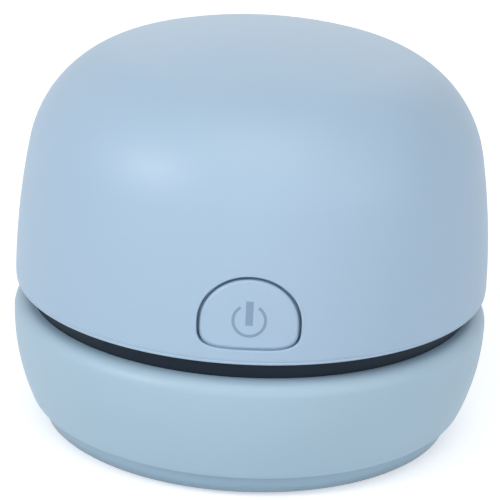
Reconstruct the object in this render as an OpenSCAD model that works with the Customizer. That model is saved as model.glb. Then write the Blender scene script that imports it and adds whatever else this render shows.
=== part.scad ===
// Desktop mini vacuum cleaner: a domed motor head that lifts off a round dust cup.
// Millimetres, +Z up. The origin is on the desk, at the centre of the base.
// The power button faces -Y and the charging socket faces +Y.

/* [Dome] */
// Widest diameter of the dome
dome_d = 85.6; // [77:0.2:94]
// Height of the dome above its lower lip
dome_h = 46.3; // [45.5:0.1:50]
// Wall thickness of the dome
dome_wall = 2; // [1.6:0.1:2.3]
// Radius of the gently curved sides
side_r = 135; // [115:1:170]
// Radius of the shoulder between the sides and the top
shoulder_r = 22; // [19:0.5:25]
// Slope of the sides where the shoulder starts, in degrees
shoulder_start = 10.5; // [9:0.5:12]
// How far the lower lip is drawn in from the sides
lip_inset = 1.2; // [0.6:0.05:1.3]
// Height of the rounding at the lower lip
lip_round = 1.3; // [0.6:0.1:2]

/* [Dust cup] */
// How far the dust cup stands out past the dome
cup_proud = 0.2; // [0:0.1:0.8]
// Height of the dust cup, from the parting line to its rim
cup_h = 18.8; // [18:0.1:24]
// Wall thickness of the dust cup
cup_wall = 1.8; // [1.4:0.1:2.2]
// How far the parting line with the bottom cover is drawn in from the widest place
seam_in = 3.4; // [2.5:0.1:4.5]
// How quickly the side swells above the parting line
cup_swell = 2.1; // [1.8:0.1:2.6]
// Height of the rolled shoulder under the rim
roll_h = 2.6; // [2:0.1:3.2]
// How far the rim is drawn in from the widest place
rim_in = 2.6; // [2:0.1:3]
// Thickness of the dust cup's floor
cup_floor = 1.5; // [1.2:0.1:2]
// Height of the inlet duct above the floor
inlet_duct_h = 5.3; // [3:0.1:6]

/* [Exhaust gap] */
// Height of the dark gap between rim and lip
gap_h = 3.3; // [3:0.1:4]
// How far the dark collar is set in from the rim
collar_inset = 0.5; // [0.3:0.1:0.8]
// Number of exhaust slots
slot_count = 60; // [36:2:62]
// Width of an exhaust slot
slot_w = 2.9; // [1.5:0.1:3.1]
// Height of an exhaust slot, hidden behind the dome's lip
slot_h = 1.2; // [0.8:0.1:1.8]

/* [Bottom cover] */
// Height of the bottom cover's outside
cover_h = 4; // [3.4:0.1:4.5]
// How far the bottom cover's lower edge is drawn in from the parting line
foot_in = 2.5; // [2:0.1:4.5]
// How far the bottom cover is set in at the parting line
seam_step = 0.8; // [0.3:0.1:1]
// Thickness of the bottom cover's plate
plate_t = 2; // [1.8:0.1:2.2]
// How far the glide pads stand below the bottom cover
pad_proud = 0.7; // [0.6:0.1:1.6]
// Diameter of a glide pad
pad_d = 8; // [6:0.5:9]
// Distance from the centre of a glide pad to the bottom cover's lower edge
pad_in = 10; // [7:0.1:11]

/* [Suction inlet and brushes] */
// Length of the suction inlet
inlet_l = 32; // [26:1:34]
// Width of the suction inlet
inlet_w = 11; // [9:0.5:11.5]
// Wall thickness of the inlet
inlet_wall = 1.2; // [0.8:0.1:1.3]
// Distance from the centre line to a brush strip
brush_y = 10; // [9.9:0.1:11]
// Length of a brush strip
brush_l = 41; // [34:1:42]
// Number of tufts in a row of a brush strip
tuft_count = 20; // [12:1:20]
// Diameter of a tuft
tuft_d = 1; // [0.7:0.1:1.2]

/* [Power button] */
// Width of the D-shaped button
button_w = 16.4; // [13:0.1:17]
// Height of the button's arch above its widest line
button_arch = 7.6; // [6:0.1:8]
// Depth of the button below its widest line
button_foot = 4.3; // [3.5:0.1:4.5]
// Height of the button's widest line above the dome's lip
button_rise = 7.4; // [7:0.1:8]
// Gap all round the button
button_gap = 0.4; // [0.3:0.05:0.6]
// How far the button is pushed in
button_travel = 0.8; // [0.5:0.1:1]
// Outer diameter of the ring in the power symbol
icon_d = 5.9; // [4:0.1:7]
// Line width of the ring in the power symbol
icon_line = 0.5; // [0.4:0.05:0.8]

/* [Fan] */
// Gap between the impeller and the wall of its chamber
impeller_gap = 4.5; // [2:0.5:7]
// Height of the impeller's blades
blade_h = 5.1; // [4:0.1:5.1]
// Number of blades
blade_count = 16; // [12:1:18]
// Diameter of the fan's eye
eye_d = 22; // [18:1:26]
// Width of the air duct between the fan chamber and the collar
duct_w = 9.4; // [8.5:0.1:10]

/* [Filter] */
// Width of the margin between the filter frame and the fan cover's edge
filter_margin = 6.6; // [6.4:0.1:9]
// Height of the filter frame
filter_h = 7; // [6.5:0.1:7.4]
// Thickness of the filter foam
foam_t = 2.8; // [2:0.1:3]

/* [Motor] */
// Diameter of the motor
motor_d = 24.4; // [23.8:0.1:24.8]
// Length of the motor's steel can
can_h = 28; // [26:0.5:29]
// Diameter of the motor shaft
shaft_d = 2; // [1.5:0.1:2.3]
// Radial clearance of the shaft in its bushes
shaft_clear = 0.02; // [0.01:0.01:0.05]

/* [Battery and electronics] */
// Diameter of the battery cell
cell_d = 14; // [13:0.5:14.2]
// Length of the battery cell
cell_l = 43; // [38:1:50]
// Width of the main circuit board
board_w = 30; // [29:0.5:32]
// Height of the main circuit board
board_h = 17; // [16:0.5:19]
// Thickness of the circuit boards
board_t = 1.2; // [1:0.1:1.6]
// Width of the charging socket
usb_w = 8.94; // [7:0.02:9.2]
// Height of the charging socket
usb_h = 3.26; // [2.6:0.02:3.4]

/* [Hidden] */
$fn = 96;
cut = 1; // overshoot of a cutting shape past the face it cuts

blue = "#a9c4dc";
dark_blue = "#9db7d0";
black_abs = "#23272e";
steel = "#b9bcc0";
brass = "#c9a45a";
copper = "#b8642e";
green = "#2f6b45";

// Radii, from the dome down
dome_r = dome_d / 2;
cup_r = dome_r + cup_proud;
rim_r = cup_r - rim_in;
seam_r = cup_r - seam_in;
foot_r = seam_r - foot_in;

// Levels, from the desk up
plate_z = pad_proud;
seam_z = plate_z + cover_h;
floor_z = seam_z + cup_floor;
rim_z = seam_z + cup_h;
lip_z = rim_z + gap_h;
top_z = lip_z + dome_h;
belly_z = rim_z - roll_h;

// Dome arcs: side, shoulder and top, each tangent to the next
widest_z = lip_z + 0.8;
side_c = [dome_r - side_r, widest_z];
shoulder_c = side_c + (side_r - shoulder_r) * [cos(shoulder_start), sin(shoulder_start)];
crown_rise = top_z - shoulder_c.y;
crown_r = (shoulder_c.x ^ 2 + crown_rise ^ 2 - shoulder_r ^ 2) / (2 * (crown_rise - shoulder_r));
crown_c = [0, top_z - crown_r];
crown_start = atan2(shoulder_c.y - crown_c.y, shoulder_c.x);

// Dust cup and the collar that plugs into it
mouth_r = rim_r - cup_wall;
lip_h = 1.8; // height of the cup's inner lip, which the seal bears on
skirt_clear = 0.25;
skirt_r = mouth_r - skirt_clear;
skirt_t = 2;
skirt_h = 4;
collar_r = rim_r - collar_inset;
collar_t = 1.5;
flange_t = 1.2;
shelf_t = 1.3;
shelf_z = lip_z + 1.5;
seal_wire_r = 0.6;
seal_clear = 0.1;
seal_z = rim_z - 1.1;
groove_depth = 1.1;

// Fan
cover_t = 1.5;
fan_cover_z = rim_z - cover_t;
fan_cover_r = skirt_r - skirt_t - 0.25;
eye_lip_h = 0.7;
blade_clear = 0.7;
blade_z = rim_z + eye_lip_h + blade_clear;
back_t = 1.2;
blade_t = 1;
back_clear = 1.1;
hub_r = 4;
chamber_t = 1.5;
chamber_r = collar_r - collar_t - duct_w - chamber_t;
tip_r = chamber_r - impeller_gap;
deck_t = 2;
deck_under_z = blade_z + blade_h + back_t + back_clear;
deck_z = deck_under_z + deck_t;
fan_screw_at = fan_cover_r - 3.1; // radius of the circle of fan cover screws
fan_boss_r = 2.4;
fan_screw_depth = 2.8;
fan_screw_angles = [90, 210, 330];
clip_angles = [30, 150, 270];

// Filter
filter_z = fan_cover_z - filter_h;
filter_wall = 1.5;
filter_flange_r = fan_cover_r - filter_margin;
filter_r = filter_flange_r - 5;
filter_flange_t = 1.2;
spoke_h = 1.5;
spoke_w = 1.6;
mesh_t = 0.3;
clip_clear = 0.2;
clip_t = 1;

// Motor
motor_r = motor_d / 2;
can_t = 1;
motor_fit = 0.2;
clamp_t = 1.4;
clamp_h = 6;
nose_r = 3.5;
nose_h = 1.6;
bush_r = 2.5;
shaft_r = shaft_d / 2;
can_top_z = deck_z + can_h;
endcap_t = 1.5;
endcap_boss_h = 2.8;
mount_hole_x = 8; // motor fixing screws, each side of the shaft
motor_screw_r = 1;
motor_head_r = 1.9;
motor_head_h = 1;
motor_screw_depth = 2.4;
stack_r = 8.9;
stack_z = deck_z + 7.7;
stack_h = 13;
tooth_w = 3;
shoe_t = 1.2;
core_r = 3.6;
magnet_gap = 0.4;
comm_r = 2.6;
comm_h = 3;
comm_z = can_top_z - endcap_t - 0.8 - comm_h;
terminal_h = 4.2;

// Button: the pressed centre lies on the switch
button_z = lip_z + button_rise;
switch_z = button_z + 0.8;
icon_z = button_z + 0.6;
button_cut = 12.8; // depth of the cuts round the button, from the dome's widest place
icon_cut = 7.8;
cap_depth = 3.6;
flange_lip = 1.2;
flange_foot = 0.8;
icon_depth = 0.3;
stem_r = 1.6;

// Main board, standing behind the button on two posts
board_room = 11.8; // room for button and switch in front of the board
board_y = board_room - dome_r;
post_x = 12;
post_w = 5;
post_d = 5;
post_h = 15;
board_screw_depth = 3.6;
charge_screw_depth = 1.6;
board_screw_z = shelf_z + 12.5;
switch_w = 6;
switch_body_d = 3.5;
plunger_r = 1.75;
plunger_reach = 1.4;
board_face_y = board_y - board_t;
switch_face_y = board_face_y - switch_body_d;
connector_x = [-6, 0, 6];
connector_w = 4.8;
connector_d = 4.4;
connector_z = shelf_z + 9.7;
connector_h = 4;
pin_pitch = 1.1; // half the distance between a connector's two wires
pin_y = board_y + connector_d;
pin_z = connector_z + connector_h / 2;
wire_r = 0.5;

// Battery, lying behind the motor in two saddles
cell_r = cell_d / 2;
cell_gap = 1.7;
cell_y = motor_r + cell_gap + cell_r;
cell_lift = 0.8;
cell_z = deck_z + cell_lift + cell_r;
tab_t = 0.3;
stop_gap = 0.6;
stop_t = 1.5;
stop_w = 6;
saddle_x = 10;
saddle_t = 2;
saddle_w = 10;
saddle_h = 3.6;

// Charging board
charge_w = 16;
charge_l = 7.9;
charge_in = 3.4; // distance from the board to the dome's widest place
charge_y1 = dome_r - charge_in;
charge_y0 = charge_y1 - charge_l;
charge_z = shelf_z + 2.4;
charge_screw = [6.4, charge_y0 + 1.7];
charge_post_w = 3;
usb_len = 6.9;
usb_in = 1.3; // how far the socket's mouth lies in from the dome's widest place
usb_y0 = dome_r - usb_in - usb_len;
usb_z = charge_z + board_t + usb_h / 2;
usb_clear = 0.33;

// Inlet duct
duct_outer = [inlet_l + 2 * inlet_wall, inlet_w + 2 * inlet_wall];
duct_foot = 1.5; // how far its foot stands out at each end
duct_foot_t = 0.7;
duct_clear = 0.1;

// Brush strips
brush_w = 3.8;
brush_clear = 0.3;

// Fasteners
pilot_clear = 0.05;
shell_screws_at = [for (a = [20, 160, 232, 308]) polar(collar_r - 3.6, a)];
shell_boss_r = 2.5;
rib_t = 1.2;
shell_screw_r = 1.1;
shell_screw_depth = 8;
small_screw_r = 0.9;
cover_screw_at = foot_r - 6.7; // radius of the circle of bottom cover screws
cover_screw_angles = [45, 135, 225, 315];
cover_screw_depth = 3.6;
cover_head_r = 2;
cover_head_h = 1.5;
cover_seat = 2; // depth of the bottom cover's counterbores
cup_boss_r = 2.8;
cup_boss_h = 5;
pad_angles = [0, 90, 180, 270];
pad_at = foot_r - pad_in;
pad_seat = 0.6; // depth of the glide pads' recesses
bore_end = 1; // wall left over the end of a screw's hole

// Points of an arc; from = 1 leaves out the first point where it repeats the last arc's end
function arc(c, r, a0, a1, n, from = 0) =
    [for (i = [from : n]) let (a = a0 + (a1 - a0) * i / n) c + r * [cos(a), sin(a)]];

// Angle on the side arc, set in by inset, at height z
function side_angle(z, inset) = asin((z - side_c.y) / (side_r - inset));

// Outline of the dome set in by inset, from height z up to the crown on the axis
function dome_outline(inset, z) = concat(
    arc(side_c, side_r - inset, side_angle(z, inset), shoulder_start, 10),
    arc(shoulder_c, shoulder_r - inset, shoulder_start, crown_start, 26, 1),
    arc(crown_c, crown_r - inset, crown_start, 90, 10, 1));

// Radius of the dust cup's outside between parting line and belly
function side_of_cup(z) = let (t = min(1, (z - seam_z) / (belly_z - seam_z)))
    cup_r - seam_in * (1 - t) ^ cup_swell;

// D-shaped outline, flat side down, with rounded lower corners, grown by g
function d_outline(g_side, g_up, g_down) = concat(
    [for (a = [0 : 6 : 180])
        [(button_w / 2 + g_side) * cos(a), (button_arch + g_up) * sin(a)]],
    [for (a = [186 : 6 : 354])
        [(button_w / 2 + g_side) * sign(cos(a)) * abs(cos(a)) ^ 0.55,
        -(button_foot + g_down) * abs(sin(a)) ^ 0.55]]);

// Smooth curve through the points p, steps to each span
function curve(p, steps = 5) = [for (i = [0 : len(p) - 2]) let (
        a = p[max(0, i - 1)],
        b = p[i],
        c = p[i + 1],
        d = p[min(len(p) - 1, i + 2)])
    for (k = [(i == 0 ? 0 : 1) : steps]) let (t = k / steps)
        b + t * (c - a) / 2 + t ^ 2 * (2 * a - 5 * b + 4 * c - d) / 2
            + t ^ 3 * (3 * b - a - 3 * c + d) / 2];

function unit(v) = v / norm(v);

// Normals carried along a curve without twist, one for each tangent in t
function carried(t, i = 0, n = [0.31, 0.95, 0.11]) = i == len(t) ? [] :
    let (m = unit(n - (n * t[i]) * t[i])) concat([m], carried(t, i + 1, m));

// Round tube of radius r along the points p
module tube(p, r, sides = 8) {
    last = len(p) - 1;
    t = [for (i = [0 : last]) unit(p[min(last, i + 1)] - p[max(0, i - 1)])];
    n = carried(t);
    rings = [for (i = [0 : last]) for (k = [0 : sides - 1]) let (a = 360 * k / sides)
        p[i] + r * (cos(a) * n[i] + sin(a) * cross(t[i], n[i]))];
    walls = [for (i = [0 : last - 1]) for (k = [0 : sides - 1]) let (m = (k + 1) % sides)
        each [[i * sides + k, (i + 1) * sides + k, (i + 1) * sides + m],
            [i * sides + k, (i + 1) * sides + m, i * sides + m]]];
    start = [[for (k = [0 : sides - 1]) k]];
    end = [[for (k = [sides - 1 : -1 : 0]) last * sides + k]];
    polyhedron(rings, concat(walls, start, end), convexity = 8);
}

// Ring with a rectangular section
module ring(r0, r1, z, h) {
    translate([0, 0, z]) rotate_extrude() translate([r0, 0]) square([r1 - r0, h]);
}

// Upright cylinder at a place
module post(at, r, z, h) {
    translate([at.x, at.y, z]) cylinder(r = r, h = h);
}

// Box given by its centre in X and Y, its lowest level and its size
module block(at, z, size) {
    translate([at.x - size.x / 2, at.y - size.y / 2, z]) cube(size);
}

function polar(r, a) = [r * cos(a), r * sin(a)];

// Self-tapping screw standing with its head down: head from z, shank up from there
module screw_up(at, z, head_r, head_h, shank_r, length) {
    difference() {
        union() {
            post(at, head_r, z, head_h);
            post(at, shank_r, z + head_h, length);
        }
        for (a = [0, 90])
            translate([at.x, at.y, z]) rotate([0, 0, a])
                cube([head_r * 1.2, head_r * 0.25, head_h], center = true);
    }
}

// The whole dome as a solid, set in by inset
module dome_solid(inset) {
    rotate_extrude() polygon(concat([[0, lip_z]], dome_outline(inset, lip_z)));
}

// Prism of a flat outline, running from the front of the dome inwards by depth
module front_prism(depth) {
    rotate([90, 0, 0]) translate([0, 0, dome_r - depth]) linear_extrude(depth + cut)
        children();
}

// Prism of the button's D outline, grown by g
module d_prism(depth, g_side, g_up, g_down) {
    front_prism(depth) translate([0, button_z]) polygon(d_outline(g_side, g_up, g_down));
}

module upper_shell() {
    outer = dome_outline(0, lip_z + lip_round);
    inner = dome_outline(dome_wall, lip_z);
    last = len(outer) - 1;
    color(blue) union() {
        difference() {
            rotate_extrude() polygon(concat(
                [for (a = [0 : 15 : 90])
                    [outer[0].x - lip_inset * (1 - sin(a)), lip_z + lip_round * (1 - cos(a))]],
                [for (i = [1 : last]) outer[i]],
                [for (i = [last : -1 : 0]) inner[i]]));
            d_prism(button_cut, button_gap, button_gap, button_gap);
            translate([0, usb_y0, usb_z]) rotate([-90, 0, 0]) linear_extrude(dome_r)
                stadium(usb_w + 2 * usb_clear, usb_h + 2 * usb_clear);
        }
        for (p = shell_screws_at) shell_boss(p);
    }
}

// Screw boss of the dome, joined to the wall by a rib, standing on the frame's shelf
module shell_boss(p) {
    difference() {
        intersection() {
            union() {
                post(p, shell_boss_r, shelf_z, dome_h);
                rotate([0, 0, atan2(p.y, p.x)]) translate([norm(p), -rib_t / 2, shelf_z + 3])
                    cube([dome_r - norm(p), rib_t, dome_h]);
            }
            dome_solid(dome_wall / 2);
        }
        post(p, shell_screw_r + pilot_clear, shelf_z - cut, shell_screw_depth + bore_end + cut);
    }
}

// Flat slot outline with round ends
module stadium(w, h) {
    union() {
        square([w - h, h], center = true);
        for (s = [-1, 1]) translate([s * (w - h) / 2, 0]) circle(d = h);
    }
}

module shell_screws() {
    color(steel) for (p = shell_screws_at)
        screw_up(p, shelf_z - shelf_t - 1.6, 1.9, 1.6, shell_screw_r, shelf_t + shell_screw_depth);
}

module inner_frame() {
    color(black_abs) difference() {
        union() {
            rotate_extrude() polygon([
                [skirt_r - skirt_t, rim_z - skirt_h], [skirt_r, rim_z - skirt_h],
                [skirt_r, rim_z], [collar_r, rim_z], [collar_r, shelf_z],
                [chamber_r + chamber_t, shelf_z], [chamber_r + chamber_t, deck_z],
                [nose_r + motor_fit, deck_z], [nose_r + motor_fit, deck_under_z],
                [chamber_r, deck_under_z], [chamber_r, shelf_z - shelf_t],
                [collar_r - collar_t, shelf_z - shelf_t], [collar_r - collar_t, rim_z + flange_t],
                [skirt_r - skirt_t, rim_z + flange_t]]);
            ring(motor_r + motor_fit, motor_r + motor_fit + clamp_t, deck_z - deck_t / 2,
                clamp_h + deck_t / 2);
            for (a = fan_screw_angles)
                post(polar(fan_screw_at, a), fan_boss_r, rim_z, shelf_z - shelf_t / 2 - rim_z);
            for (s = [-1, 1]) {
                board_post(s);
                battery_saddle(s);
                block([s * charge_screw.x, charge_screw.y], shelf_z - shelf_t / 2,
                    [charge_post_w, charge_post_w, charge_z - shelf_z + shelf_t / 2]);
            }
        }
        post([0, 0], chamber_r, rim_z, deck_under_z - rim_z);
        seal_groove();
        exhaust_slots();
        for (p = shell_screws_at)
            post(p, shell_screw_r + pilot_clear, shelf_z - shelf_t - cut, shelf_t + 2 * cut);
        for (a = fan_screw_angles)
            post(polar(fan_screw_at, a), small_screw_r + pilot_clear, rim_z - cut,
                cut + fan_screw_depth + 0.2);
        for (s = [-1, 1]) {
            post([s * mount_hole_x, 0], motor_screw_r + 0.2, deck_under_z - cut, deck_t + 2 * cut);
            post([s * mount_hole_x, 0], motor_head_r + 0.2, deck_under_z - cut,
                cut + motor_head_h + 0.1);
            translate([s * post_x, board_y - cut, board_screw_z]) rotate([-90, 0, 0])
                cylinder(r = small_screw_r + pilot_clear, h = board_screw_depth + 0.6 + cut);
            post([s * charge_screw.x, charge_screw.y], small_screw_r + pilot_clear,
                charge_z - charge_screw_depth - 0.3, charge_screw_depth + 0.3 + cut);
        }
        translate([-cell_l / 2, cell_y, cell_z]) rotate([0, 90, 0])
            cylinder(r = cell_r + 0.1, h = cell_l);
    }
}

// Groove for the seal round the skirt
module seal_groove() {
    ring(skirt_r - groove_depth, skirt_r + cut, seal_z - seal_wire_r - 0.05, 2 * seal_wire_r + 0.1);
}

// Slots high in the collar, which let the air out behind the dome's lip
module exhaust_slots() {
    for (i = [0 : slot_count - 1])
        rotate([0, 0, 360 * (i + 0.5) / slot_count])
            translate([collar_r - collar_t - 0.4, -slot_w / 2, shelf_z - shelf_t - slot_h])
                cube([collar_t + 1.4, slot_w, slot_h]);
}

// Post behind one end of the main board; s is its side
module board_post(s) {
    block([s * post_x, board_y + post_d / 2], shelf_z - shelf_t / 2,
        [post_w, post_d, post_h + shelf_t / 2]);
}

// Saddle under the battery and the stop at its end; s is its side
module battery_saddle(s) {
    block([s * saddle_x, cell_y], deck_z - cut, [saddle_t, saddle_w, cut + cell_lift + saddle_h]);
    block([s * (cell_l / 2 + stop_gap + stop_t / 2), cell_y], shelf_z - shelf_t / 2,
        [stop_t, stop_w, cell_z + 2 - shelf_z + shelf_t / 2]);
}

module fan_cover() {
    color(black_abs) difference() {
        union() {
            ring(eye_d / 2, fan_cover_r, fan_cover_z, cover_t);
            ring(eye_d / 2, eye_d / 2 + 1.2, fan_cover_z, cover_t + eye_lip_h);
            for (a = clip_angles) filter_clip(a);
        }
        for (a = fan_screw_angles)
            post(polar(fan_screw_at, a), small_screw_r + 0.15, fan_cover_z - cut,
                cover_t + 2 * cut);
    }
}

// Hooked clip that holds the filter frame's flange, centred on angle a
module filter_clip(a) {
    hook_z = fan_cover_z - filter_flange_t - clip_clear - clip_t;
    rotate([0, 0, a - 9]) rotate_extrude(angle = 18) polygon([
        [filter_flange_r + clip_clear, fan_cover_z + cover_t / 2],
        [filter_flange_r + clip_clear, hook_z + clip_t],
        [filter_flange_r - 1, hook_z + clip_t],
        [filter_flange_r - 1, hook_z],
        [filter_flange_r + clip_clear + clip_t, hook_z],
        [filter_flange_r + clip_clear + clip_t, fan_cover_z + cover_t / 2]]);
}

module fan_cover_screws() {
    color(steel) for (a = fan_screw_angles)
        screw_up(polar(fan_screw_at, a), fan_cover_z - 1.3, 1.7, 1.3, small_screw_r,
            cover_t + fan_screw_depth);
}

module seal_ring() {
    color("#3a3d42") rotate_extrude()
        translate([mouth_r - seal_clear - seal_wire_r, seal_z]) circle(r = seal_wire_r, $fn = 32);
}

module filter_frame() {
    color("#e8eaec") union() {
        ring(filter_r, filter_r + filter_wall, filter_z, filter_h);
        ring(filter_r, filter_flange_r, fan_cover_z - filter_flange_t, filter_flange_t);
        ring(2, 4, filter_z, spoke_h);
        for (a = [0 : 60 : 300]) rotate([0, 0, a])
            translate([3, -spoke_w / 2, filter_z]) cube([filter_r - 2, spoke_w, spoke_h]);
    }
}

module filter_mesh() {
    color("#c7cacd") translate([0, 0, filter_z + spoke_h])
        cylinder(r = filter_r - 0.1, h = mesh_t);
}

module filter_foam() {
    color("#4a4e55") translate([0, 0, filter_z + spoke_h + mesh_t])
        cylinder(r = filter_r - 0.2, h = foam_t);
}

// Front view of the power symbol: a ring open at the top, and a bar
module icon_outline() {
    bar_w = icon_d * 0.2;
    union() {
        difference() {
            circle(d = icon_d);
            circle(d = icon_d - 2 * icon_line);
            polygon([[0, 0], polar(icon_d, 124), polar(icon_d, 56)]);
        }
        translate([-bar_w / 2, -icon_d * 0.145]) square([bar_w, icon_d * 0.71]);
    }
}

module button_cap() {
    color(blue) difference() {
        union() {
            difference() {
                intersection() {
                    d_prism(button_cut, 0, 0, 0);
                    dome_solid(0);
                }
                dome_solid(cap_depth);
            }
            difference() {
                intersection() {
                    d_prism(button_cut, flange_lip, flange_lip, flange_foot);
                    dome_solid(dome_wall + 0.3);
                }
                dome_solid(cap_depth);
            }
            translate([0, switch_face_y - plunger_reach, switch_z]) rotate([90, 0, 0])
                cylinder(r = stem_r, h = dome_r - cap_depth + 0.5 + switch_face_y - plunger_reach);
        }
        icon_solid();
    }
}

// The inlaid power symbol, following the button's curved face
module icon_solid() {
    difference() {
        intersection() {
            front_prism(icon_cut) translate([0, icon_z]) icon_outline();
            dome_solid(0);
        }
        dome_solid(icon_depth);
    }
}

module power_icon() {
    color("#8ea6c0") icon_solid();
}

module switch_plunger() {
    color("#e9e6df") translate([0, switch_face_y + 1.2, switch_z]) rotate([90, 0, 0])
        cylinder(r = plunger_r - 0.05, h = plunger_reach + 1.2);
}

module switch_body() {
    color("#2b2d31") difference() {
        translate([-switch_w / 2, switch_face_y, switch_z - switch_w / 2])
            cube([switch_w, switch_body_d, switch_w]);
        translate([0, switch_face_y + 1.4 + button_travel, switch_z]) rotate([90, 0, 0])
            cylinder(r = plunger_r, h = 4);
    }
}

module main_pcb() {
    color(green) difference() {
        translate([-board_w / 2, board_face_y, shelf_z]) cube([board_w, board_t, board_h]);
        for (s = [-1, 1]) translate([s * post_x, board_y + cut, board_screw_z])
            rotate([90, 0, 0]) cylinder(r = small_screw_r + 0.15, h = board_t + 2 * cut);
    }
}

// Chip or part on the front face of the main board
module on_board(x, z, size, shade) {
    color(shade) translate([x - size.x / 2, board_face_y - size.y, z]) cube(size);
}

module pcb_components() {
    on_board(7.4, shelf_z + 6, [4, 1.5, 5], "#1d1f22");
    on_board(-7.2, shelf_z + 6.2, [3.8, 1.8, 3.8], "#55504a");
    for (i = [0 : 3]) on_board(-3.6 + 2.4 * i, shelf_z + 2, [1.2, 0.7, 0.8], "#c2a878");
    for (x = [-6, 6]) on_board(x, shelf_z + 14.6, [2, 0.8, 1.2], "#1d1f22");
}

module pcb_connectors() {
    color("#efece4") for (x = connector_x)
        translate([x - connector_w / 2, board_y, connector_z])
            cube([connector_w - 0.4, connector_d, connector_h]);
}

module pcb_screws() {
    color(steel) for (s = [-1, 1])
        translate([s * post_x, board_face_y, board_screw_z]) rotate([-90, 0, 0])
            screw_up([0, 0], -1.2, 1.6, 1.2, small_screw_r, board_t + board_screw_depth);
}

module charge_pcb() {
    color(green) difference() {
        translate([-charge_w / 2, charge_y0, charge_z])
            cube([charge_w, charge_l, board_t]);
        for (s = [-1, 1])
            post([s * charge_screw.x, charge_screw.y], small_screw_r + 0.15, charge_z - cut,
                board_t + 2 * cut);
    }
}

module charge_screws() {
    color(steel) for (s = [-1, 1])
        translate([s * charge_screw.x, charge_screw.y, charge_z + board_t]) rotate([180, 0, 0])
            screw_up([0, 0], -1, 1.4, 1, small_screw_r, board_t + charge_screw_depth);
}

module usb_socket() {
    color(steel) translate([0, usb_y0, usb_z]) rotate([-90, 0, 0]) difference() {
        linear_extrude(usb_len) stadium(usb_w, usb_h);
        translate([0, 0, 1]) linear_extrude(usb_len) stadium(usb_w - 0.6, usb_h - 0.6);
    }
}

module usb_tongue() {
    color("#26282c") translate([-3.35, usb_y0 + 1, usb_z - 0.35]) cube([6.7, 4.9, 0.7]);
}

module battery_cell() {
    color("#3d6fa3") translate([-cell_l / 2, cell_y, cell_z]) rotate([0, 90, 0])
        cylinder(r = cell_r, h = cell_l);
}

module battery_terminals() {
    color(steel) for (s = [-1, 1])
        translate([s * (cell_l / 2 + tab_t / 2), cell_y, 0])
            block([0, 0], cell_z - 3, [tab_t, 5, 8]);
}

module motor_can() {
    color(steel) difference() {
        union() {
            post([0, 0], motor_r, deck_z, can_h);
            post([0, 0], nose_r, deck_z - nose_h, nose_h + can_t);
        }
        post([0, 0], motor_r - can_t, deck_z + can_t, can_h);
        post([0, 0], bush_r, deck_z - nose_h - cut, can_t + nose_h + 2 * cut);
        for (s = [-1, 1])
            post([s * mount_hole_x, 0], motor_screw_r + pilot_clear, deck_z - cut,
                can_t + 2 * cut);
    }
}

module motor_endcap() {
    z = can_top_z - endcap_t;
    color("#e4e0d6") difference() {
        union() {
            post([0, 0], motor_r - can_t - 0.05, z, endcap_t);
            post([0, 0], 4.2, z, endcap_t + endcap_boss_h);
        }
        post([0, 0], bush_r, z + endcap_t + 0.3, endcap_boss_h);
        post([0, 0], shaft_r + 0.4, z - cut, endcap_t + 2 * cut);
    }
}

module motor_magnets() {
    color("#3b3a3c") for (a = [25, 205])
        rotate([0, 0, a]) translate([0, 0, stack_z - 3]) rotate_extrude(angle = 130)
            translate([stack_r + magnet_gap, 0])
                square([motor_r - can_t - 0.05 - stack_r - magnet_gap, stack_h + 6]);
}

// Sintered bearing bush
module bush(z, h) {
    color(brass) ring(shaft_r + shaft_clear, bush_r, z, h);
}

module motor_bush_front() {
    bush(deck_z - nose_h, 3.6);
}

module motor_bush_rear() {
    bush(can_top_z + 0.3, endcap_boss_h - 0.3);
}

module motor_brushes() {
    leaf_z = comm_z + 0.8;
    color(copper) for (s = [0, 180]) rotate([0, 0, s + 90]) {
        translate([comm_r + 0.15, -1, leaf_z]) cube([2, 2, 2]);
        translate([comm_r + 2.15, -1, leaf_z]) cube([0.3, 2, can_top_z - endcap_t - leaf_z]);
    }
}

module motor_terminals() {
    color(brass) for (s = [-1, 1])
        block([s * 7, 0], can_top_z, [0.5, 2.2, terminal_h]);
}

module motor_screws() {
    color(steel) for (s = [-1, 1])
        screw_up([s * mount_hole_x, 0], deck_under_z + 0.1, motor_head_r, motor_head_h,
            motor_screw_r, deck_t - motor_head_h - 0.1 + motor_screw_depth);
}

module motor_shaft() {
    bottom_z = blade_z + 0.3;
    color("#cfd2d6") post([0, 0], shaft_r, bottom_z, can_top_z + endcap_boss_h + 0.6 - bottom_z);
}

module motor_armature() {
    color("#77797c") translate([0, 0, stack_z]) linear_extrude(stack_h) difference() {
        union() {
            circle(r = core_r);
            for (a = [0, 120, 240]) rotate(a) {
                translate([0, -tooth_w / 2]) square([stack_r - 0.4, tooth_w]);
                difference() {
                    circle(r = stack_r);
                    circle(r = stack_r - shoe_t);
                    polygon([[0, 0], polar(30, 48), polar(30, 120), [-30, 0],
                        polar(30, -120), polar(30, -48)]);
                }
            }
        }
        circle(r = shaft_r);
    }
}

module motor_windings() {
    coil_r0 = core_r + 0.2;
    coil_w = tooth_w + 3.6;
    coil_r1 = sqrt((stack_r - shoe_t - 0.2) ^ 2 - (coil_w / 2) ^ 2);
    overhang = 1.6;
    color(copper) for (a = [0, 120, 240]) rotate([0, 0, a]) difference() {
        translate([coil_r0, -coil_w / 2, stack_z - overhang])
            cube([coil_r1 - coil_r0, coil_w, stack_h + 2 * overhang]);
        translate([coil_r0 - cut, -tooth_w / 2, stack_z])
            cube([coil_r1 - coil_r0 + 2 * cut, tooth_w, stack_h]);
    }
}

module motor_commutator() {
    color(copper) difference() {
        ring(shaft_r, comm_r, comm_z, comm_h);
        for (a = [0, 120, 240]) rotate([0, 0, a])
            translate([shaft_r + 0.8, -0.15, comm_z - cut]) cube([3, 0.3, comm_h + 2 * cut]);
    }
}

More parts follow.
